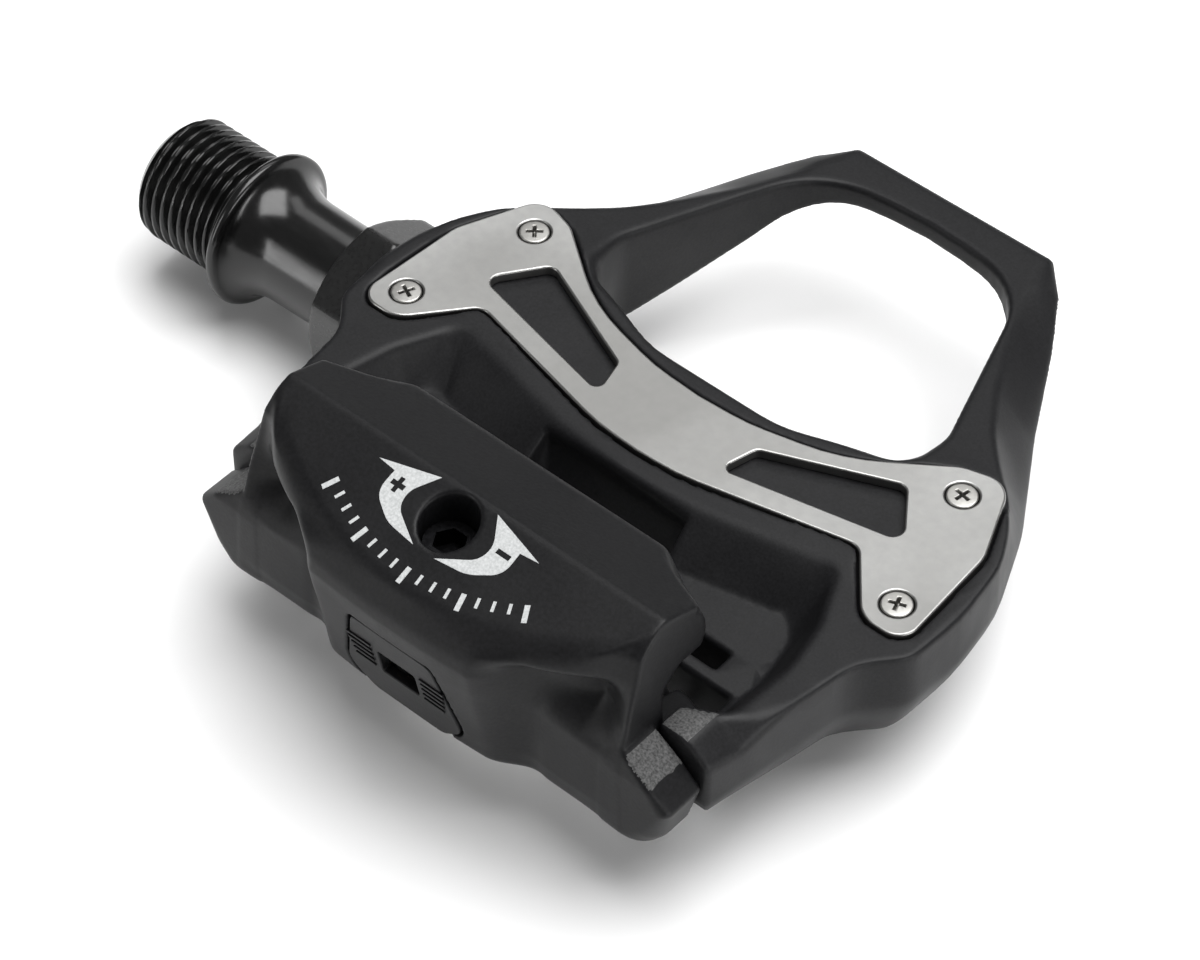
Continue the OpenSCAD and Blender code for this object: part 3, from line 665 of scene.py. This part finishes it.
def make_lock_nut():
    """Chamfered hexagon, collar and spigot round a bore."""
    turns = 192
    angle = np.arange(turns) * 2 * math.pi / turns
    near = nut_low.x / MM
    hexa = hexagon(NUT_ACROSS, angle + math.pi / 6)
    rows = [(near + 0.5, 7.7), (near, 8.0), (near, 8.15)]
    for x in np.linspace(0.02, 4.98, 26):
        cone = min(8.2 + x * 1.8, 9.755, 9.55 + (4.98 - x) * 0.9)
        rows.append((near + x, -np.log(np.exp(-12 * hexa) + np.exp(-12 * cone)) / 12))
    rows += [(near + 5.05, 9.1), (near + 5.1, 9.0), (near + 6.1, 9.0), (near + 6.2, 8.9), (near + 6.25, 7.3),
             (near + 14.25, 7.28), (near + 14.25, 6.3), (near + 3.2, 6.3), (near + 3.2, 7.6),
             (near + 0.7, 7.62)]
    piece = lathe("lock_nut_hexagon", rows, turns, closed_ends=False)
    sharpen(piece, 32)
    return piece


# ---- springs, insert and printed marks ----
SPRING_START, SPRING_END, SPRING_R, WIRE_R = 5.4, 18.6, 3.7, 0.9
SPRING_TURNS = 5 + 75 / 360
LONG_LEG, SHORT_LEG = 6.6, 4.9


def make_spring(side):
    """A torsion spring of round wire: leg, coil and leg."""
    t = np.linspace(0, 1, 200)
    a = math.radians(360 * SPRING_TURNS) * t
    coil = np.stack([SPRING_START + (SPRING_END - SPRING_START) * t, SPRING_R * np.sin(a),
                     SPRING_R * np.cos(a)], 1)
    first, last = coil[0] - coil[1], coil[-1] - coil[-2]
    first, last = first / np.linalg.norm(first), last / np.linalg.norm(last)
    path = np.concatenate([[coil[0] + LONG_LEG * first, coil[0] + first], coil,
                           [coil[-1] + last, coil[-1] + SHORT_LEG * last]])
    path[:, 0] *= side
    curve = bpy.data.curves.new("wire", "CURVE")
    curve.dimensions = "3D"
    curve.bevel_depth = WIRE_R * MM
    curve.bevel_resolution = 4
    curve.use_fill_caps = True
    spline = curve.splines.new("POLY")
    spline.points.add(len(path) - 1)
    centre = PEDAL + Vector((0, PIVOT_Y, PIVOT_Z)) * MM
    for point, (x, y, z) in zip(spline.points, path):
        point.co = (*(centre + Vector((x, y, z)) * MM), 1)
    piece = curve_piece("torsion_spring_" + ("right" if side > 0 else "left"), curve)
    sharpen(piece, 40)
    return piece


def insert_frame(top):
    """Placing of a sheet on the insert's seat with its top that far out."""
    turn = Matrix.Rotation(math.pi / 2 + INSERT_TILT, 4, "X")
    place = PEDAL + Vector((0, INSERT_Y, INSERT_Z)) * MM
    return Matrix.Translation(place) @ turn @ Matrix.Translation((0, 0, top * MM))


def make_insert():
    """Shield-shaped insert with its window and rounded rim."""
    window = [(2.35 * sx, -0.6 + 1.75 * sy) for sx, sy in ((-1, -1), (1, -1), (1, 1), (-1, 1))]
    window = rounded([(x, y, 0.3) for x, y in window])
    piece = curve_sheet("shield_insert", [rounded(whole(INSERT)), window], INSERT_T, 0.16)
    piece.data.transform(insert_frame(INSERT_T))
    sharpen(piece, 40)
    return piece


def turn_arrow(side):
    """Outline of one curved arrow beside the hole, and of the sign cut out of it."""
    outline = rounded([(-3.5, -24.65, 0), (-6.1, -28.4, 5), (-1.3, -31.05, 0), (-5.0, -30.65, 4),
                       (-7.9, -28.9, 2.5), (-7.85, -26.45, 0), (-10.0, -26.25, 0)])
    upright = [(-0.26, -0.8), (0.26, -0.8), (0.26, 0.8), (-0.26, 0.8)]
    level = [(y, -x) for x, y in upright]
    plus = [(-0.26, -0.8), (0.26, -0.8), (0.26, -0.26), (0.8, -0.26), (0.8, 0.26), (0.26, 0.26),
            (0.26, 0.8), (-0.26, 0.8), (-0.26, 0.26), (-0.8, 0.26), (-0.8, -0.26), (-0.26, -0.26)]
    sign = plus if side < 0 else level
    middle = (-6.6 * -side, BOLT_Y + 0.15)
    outline = [(-side * x, y) for x, y in outline]
    return outline, [(middle[0] + x, middle[1] + y) for x, y in sign]


def make_grip_lines():
    """Fine raised bars on both sides of the insert's window."""
    outlines = []
    for k in range(5):
        y = 1.3 - 0.85 * k
        for side in (-1, 1):
            a, b = sorted((side * 3.1, side * (6.2 - 0.12 * k)))
            outlines.append(rounded([(a, y, 0.1), (b, y, 0.1), (b, y + 0.34, 0.1), (a, y + 0.34, 0.1)]))
    piece = curve_sheet("insert_grip_lines", outlines, 0.24, 0.06)
    piece.data.transform(insert_frame(INSERT_T + 0.16))
    sharpen(piece, 40)
    return piece


def make_marks():
    """Pale printed marks: two turn arrows with plus and minus, and an arc of tick marks."""
    outlines = []
    for side in (-1, 1):
        outlines += turn_arrow(side)
    for k in range(17):
        major = k % 4 == 0
        a = math.radians(241 + 58 * k / 16)
        across = np.array((-math.sin(a), math.cos(a))) * (0.26 if major else 0.16)
        foot = np.array((math.cos(a), math.sin(a))) * 24.4 + (0, BOLT_Y + 19)
        tip = foot + np.array((math.cos(a), math.sin(a))) * (1.7 if major else 1.0)
        outlines.append([foot - across, foot + across, tip + across, tip - across])
    piece = curve_sheet("printed_marks", outlines, 0.04, 0.0)
    for vertex in piece.data.vertices:
        x, y, z = [c / MM for c in vertex.co]
        vertex.co = PEDAL + Vector((x, y, z + 0.04 + CREASE_Z - FACET * abs(y - CREASE_Y))) * MM
    return piece


# ---- materials ----
def new_material(name, color, roughness, metallic=0.0, **sockets):
    """A material and its shader; a socket's name is written with underscores."""
    material = bpy.data.materials.new(name)
    material.use_nodes = True
    shader = material.node_tree.nodes["Principled BSDF"]
    shader.inputs["Base Color"].default_value = (*color, 1)
    shader.inputs["Roughness"].default_value = roughness
    shader.inputs["Metallic"].default_value = metallic
    for socket, value in sockets.items():
        shader.inputs[socket.replace("_", " ")].default_value = value
    return material, shader


def noise(material, scale, detail=3.0, stretch=(1, 1, 1)):
    """Noise in object coordinates; scale is in cycles a metre."""
    nodes, links = material.node_tree.nodes, material.node_tree.links
    coordinates = nodes.new("ShaderNodeTexCoord")
    mapping = nodes.new("ShaderNodeMapping")
    mapping.inputs["Scale"].default_value = stretch
    texture = nodes.new("ShaderNodeTexNoise")
    texture.inputs["Scale"].default_value = scale
    texture.inputs["Detail"].default_value = detail
    links.new(coordinates.outputs["Object"], mapping.inputs["Vector"])
    links.new(mapping.outputs["Vector"], texture.inputs["Vector"])
    return texture.outputs["Fac"]


def remap(material, value, low, high, from_low=0.3, from_high=0.7):
    """The value's span from_low to from_high spread over low to high."""
    node = material.node_tree.nodes.new("ShaderNodeMapRange")
    node.inputs["From Min"].default_value = from_low
    node.inputs["From Max"].default_value = from_high
    node.inputs["To Min"].default_value = low
    node.inputs["To Max"].default_value = high
    material.node_tree.links.new(value, node.inputs["Value"])
    return node.outputs["Result"]


def colour_mix(material, factor, first, second):
    """Mix of two colours, where the first may be another node's output."""
    node = material.node_tree.nodes.new("ShaderNodeMix")
    node.data_type = "RGBA"
    if isinstance(first, tuple):
        node.inputs["A"].default_value = (*first, 1)
    else:
        material.node_tree.links.new(first, node.inputs["A"])
    node.inputs["B"].default_value = (*second, 1)
    material.node_tree.links.new(factor, node.inputs["Factor"])
    return node.outputs["Result"]


def bump(material, shader, height, strength, distance_mm, under=None):
    node = material.node_tree.nodes.new("ShaderNodeBump")
    node.inputs["Strength"].default_value = strength
    node.inputs["Distance"].default_value = distance_mm * MM
    material.node_tree.links.new(height, node.inputs["Height"])
    if under:
        material.node_tree.links.new(under.outputs["Normal"], node.inputs["Normal"])
    material.node_tree.links.new(node.outputs["Normal"], shader.inputs["Normal"])
    return node


def moulded_plastic():
    """Black glass-filled nylon: fine spark-eroded grain and faint flow marks."""
    material, shader = new_material("moulded_plastic", (0.008, 0.008, 0.0088), 0.45,
                                    Specular_IOR_Level=0.2)
    links = material.node_tree.links
    grain = noise(material, 3600, 4)
    flow = noise(material, 140, 2)
    links.new(remap(material, flow, 0.40, 0.52), shader.inputs["Roughness"])
    tone = colour_mix(material, remap(material, grain, 0, 1), (0.005, 0.005, 0.0055), (0.010, 0.010, 0.011))
    links.new(tone, shader.inputs["Base Color"])
    soft = bump(material, shader, flow, 0.25, 0.08)
    bump(material, shader, grain, 0.35, 0.02, soft)
    return material


def claw_coating():
    """Satin black coating over a cast claw, darker than the body."""
    material, shader = new_material("claw_coating", (0.007, 0.007, 0.0078), 0.42, Specular_IOR_Level=0.2)
    links = material.node_tree.links
    grain = noise(material, 2600, 5)
    cloud = noise(material, 90, 3)
    links.new(remap(material, cloud, 0.36, 0.5), shader.inputs["Roughness"])
    tone = colour_mix(material, remap(material, grain, 0, 1), (0.003, 0.003, 0.0034), (0.007, 0.007, 0.0078))
    links.new(tone, shader.inputs["Base Color"])
    soft = bump(material, shader, cloud, 0.2, 0.08)
    bump(material, shader, grain, 0.45, 0.025, soft)
    return material


def satin_steel():
    """Stainless sheet, finely brushed along X, with handling marks."""
    material, shader = new_material("satin_steel", (0.56, 0.55, 0.53), 0.34, 1.0)
    links = material.node_tree.links
    brush = noise(material, 5200, 4, (0.05, 1, 1))
    smear = noise(material, 120, 4)
    spots = noise(material, 900, 3)
    links.new(remap(material, smear, 0.30, 0.38), shader.inputs["Roughness"])
    cloud = noise(material, 32, 2)
    fine = colour_mix(material, remap(material, spots, 0, 1), (0.34, 0.34, 0.334), (0.38, 0.379, 0.371))
    broad = colour_mix(material, remap(material, cloud, 0, 0.7, 0.4, 0.65), fine, (0.2, 0.198, 0.19))
    links.new(broad, shader.inputs["Base Color"])
    soft = bump(material, shader, smear, 0.15, 0.05)
    bump(material, shader, brush, 0.25, 0.012, soft)
    return material


def machined(name, color, roughness, metallic=1.0, scale=2400.0, stretch=(1, 1, 1), **sockets):
    """Machined or drawn metal with a fine directional finish."""
    material, shader = new_material(name, color, roughness, metallic, **sockets)
    links = material.node_tree.links
    fine = noise(material, scale, 3, stretch)
    links.new(remap(material, fine, roughness * 0.85, roughness * 1.2), shader.inputs["Roughness"])
    lighter = tuple(min(1, c * 1.15) for c in color)
    links.new(colour_mix(material, remap(material, fine, 0, 1), color, lighter), shader.inputs["Base Color"])
    bump(material, shader, fine, 0.12, 0.01)
    return material


def printed_ink():
    """Pale grey ink with fine specks."""
    material, shader = new_material("printed_ink", (0.45, 0.46, 0.46), 0.6)
    speck = noise(material, 4200, 3)
    links = material.node_tree.links
    links.new(colour_mix(material, remap(material, speck, 0, 1), (0.36, 0.37, 0.37), (0.52, 0.53, 0.53)),
              shader.inputs["Base Color"])
    return material


def paint_highlight_pads(piece, material, low, high, tilt):
    """A second material, a painted highlight, on the faces in two mirrored boxes that look up at least that
    steeply.
    """
    piece.data.materials.append(material)
    for polygon in piece.data.polygons:
        x, y, z = (polygon.center - PEDAL) / MM
        inside = all(a < b < c for a, b, c in zip(low, (abs(x), y, z), high))
        if inside and polygon.normal.z > tilt:
            polygon.material_index = 1


def rough_plastic_painted_highlight():
    """Rough plastic where body and claw meet at the hinge; its pale speckled colour is a painted highlight on
    the faces that look up.
    """
    material, shader = new_material("rough_plastic_painted_highlight", (0.04, 0.04, 0.04), 0.6, Specular_IOR_Level=0.3)
    speck = noise(material, 4200, 5)
    links = material.node_tree.links
    links.new(colour_mix(material, remap(material, speck, 0, 1), (0.015, 0.015, 0.015), (0.09, 0.09, 0.09)),
              shader.inputs["Base Color"])
    bump(material, shader, speck, 0.6, 0.05)
    return material


def dress(piece, material, body=None, replaces=None):
    """Material, body and replaced node of one piece."""
    piece.data.materials.clear()
    piece.data.materials.append(material)
    if body:
        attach(piece, body)
    if replaces:
        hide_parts(replaces)
    return piece


plastic = moulded_plastic()
coating = claw_coating()
steel = satin_steel()
black_steel = machined("black_steel", (0.003, 0.003, 0.003), 0.2, 0.0, 1800.0, (0.2, 1, 1))
black_nut = machined("black_nut", (0.006, 0.006, 0.006), 0.3, 0.0, 2200.0)
screw_steel = machined("screw_steel", (0.33, 0.325, 0.31), 0.36, 1.0, 3000.0)
spring_steel = machined("spring_steel", (0.22, 0.22, 0.23), 0.35, 1.0, 2600.0)
bearing_steel = machined("bearing_steel", (0.68, 0.68, 0.69), 0.12, 1.0, 3000.0)
ground_steel = machined("ground_steel", (0.5, 0.5, 0.51), 0.28, 1.0, 3000.0, (0.1, 1, 1))
bolt_steel = machined("bolt_steel", (0.012, 0.012, 0.013), 0.35, 1.0, 2500.0)
brass = machined("brass", (0.62, 0.45, 0.18), 0.32, 1.0, 2600.0)
nylon = machined("nylon", (0.7, 0.7, 0.66), 0.5, 0.0, 1500.0)
rubber = machined("rubber", (0.015, 0.015, 0.015), 0.7, 0.0, 1500.0)
ink = printed_ink()

pad_highlight = rough_plastic_painted_highlight()
body_piece = dress(make_body(), plastic, "pedal", "pedal_body")
# the pale colour on the hinge pads' up-facing faces is a painted highlight; their roughness and bump are real
# texture
paint_highlight_pads(body_piece, pad_highlight, (24.8, -26.1, -1), (28.0, -21.8, 2), 0.9)
claw_piece = dress(make_claw(), coating, "claw_unit", "claw")
paint_highlight_pads(claw_piece, pad_highlight, (24.7, -31.2, -2.2), (27.9, -26.4, 1), 0.6)
dress(make_plate(), steel, "pedal", "body_plate")
dress(make_screws(), screw_steel, "pedal", "plate_screws")
dress(make_spindle(), black_steel, "spindle_unit", "spindle")
dress(make_lock_nut(), black_nut, "pedal", "hex_lock_nut")
dress(make_insert(), coating, "claw_unit", "indicator_insert")
dress(make_grip_lines(), coating, "claw_unit")
dress(make_marks(), ink, "claw_unit")
for side_name, side in (("left", -1), ("right", 1)):
    dress(make_spring(side), spring_steel, "pedal", "spring_" + side_name)

carried = {"outer_cone": bearing_steel, "keyed_washer": bearing_steel, "cone_locknut": ground_steel,
           "inner_balls": bearing_steel, "outer_balls": bearing_steel, "needle_rollers": bearing_steel,
           "dust_seal": rubber, "axle_sleeve": ground_steel, "needle_shell": bearing_steel,
           "hinge_pin": ground_steel, "pin_sleeve": nylon, "bolt_clip": spring_steel,
           "tension_bolt": bolt_steel, "tension_nut": brass}
for node_name, material in carried.items():
    dress(frame["nodes"][node_name], material)


# ---- floor, light and camera ----
def make_floor():
    """A plain white floor just under the object."""
    size, drop = 3.0, cad_box[0][2] - 0.0002
    mesh = bpy.data.meshes.new("floor")
    mesh.from_pydata([(-size, -size, drop), (size, -size, drop), (size, size, drop), (-size, size, drop)], [],
                     [(0, 1, 2, 3)])
    floor = bpy.data.objects.new("floor", mesh)
    bpy.context.scene.collection.objects.link(floor)
    floor.data.materials.append(new_material("floor_paint", (0.86, 0.86, 0.86), 0.85)[0])


def soft_light(name, direction, distance, size, watts):
    """A softbox in that direction from the object, facing it."""
    light = bpy.data.lights.new(name, "AREA")
    light.shape = "RECTANGLE"
    light.size, light.size_y = size
    light.energy = watts
    holder = bpy.data.objects.new(name, light)
    bpy.context.scene.collection.objects.link(holder)
    middle = Vector(PEDAL)
    towards = Vector(direction).normalized()
    holder.location = middle + towards * distance
    holder.rotation_euler = towards.to_track_quat("Z", "Y").to_euler()


def make_camera():
    """The photograph's viewpoint: azimuth and elevation seen from the object, lens and distance."""
    azimuth, elevation, roll = [math.radians(v) for v in (40.99, 47.25, 0.35)]
    back = Vector((math.sin(azimuth) * math.cos(elevation), -math.cos(azimuth) * math.cos(elevation),
                   math.sin(elevation)))
    right = Vector((math.cos(azimuth), math.sin(azimuth), 0))
    up = back.cross(right)
    eye = Vector((0.174374, -0.207023, 0.287241)) + PEDAL
    turned_right = right * math.cos(roll) + up * math.sin(roll)
    turned_up = up * math.cos(roll) - right * math.sin(roll)
    camera = bpy.data.cameras.new("camera")
    camera.sensor_width = 36
    camera.lens = 36 * 4040.7 / 1200
    camera.clip_start, camera.clip_end = 0.01, 20
    holder = bpy.data.objects.new("camera", camera)
    bpy.context.scene.collection.objects.link(holder)
    holder.matrix_world = Matrix((
        (turned_right.x, turned_up.x, back.x, eye.x), (turned_right.y, turned_up.y, back.y, eye.y),
        (turned_right.z, turned_up.z, back.z, eye.z), (0, 0, 0, 1)))
    bpy.context.scene.camera = holder


make_floor()
soft_light("back_left_box", (-0.45, 0.62, 0.7), 0.9, (0.45, 0.3), 0.8)
soft_light("front_left_strip", (-0.53, -0.82, 0.3), 0.8, (0.12, 0.5), 1.2)
soft_light("overhead", (0.15, 0.2, 1.0), 1.0, (0.9, 0.9), 17.0)
soft_light("right_low_box", (0.95, -0.1, 0.2), 0.8, (0.5, 0.25), 2.5)
world = bpy.data.worlds.new("studio")
bpy.context.scene.world = world
world.use_nodes = True
world.node_tree.nodes["Background"].inputs["Color"].default_value = (1, 1, 1, 1)
world.node_tree.nodes["Background"].inputs["Strength"].default_value = 0.2
bpy.context.scene.view_settings.view_transform = "Standard"
make_camera()
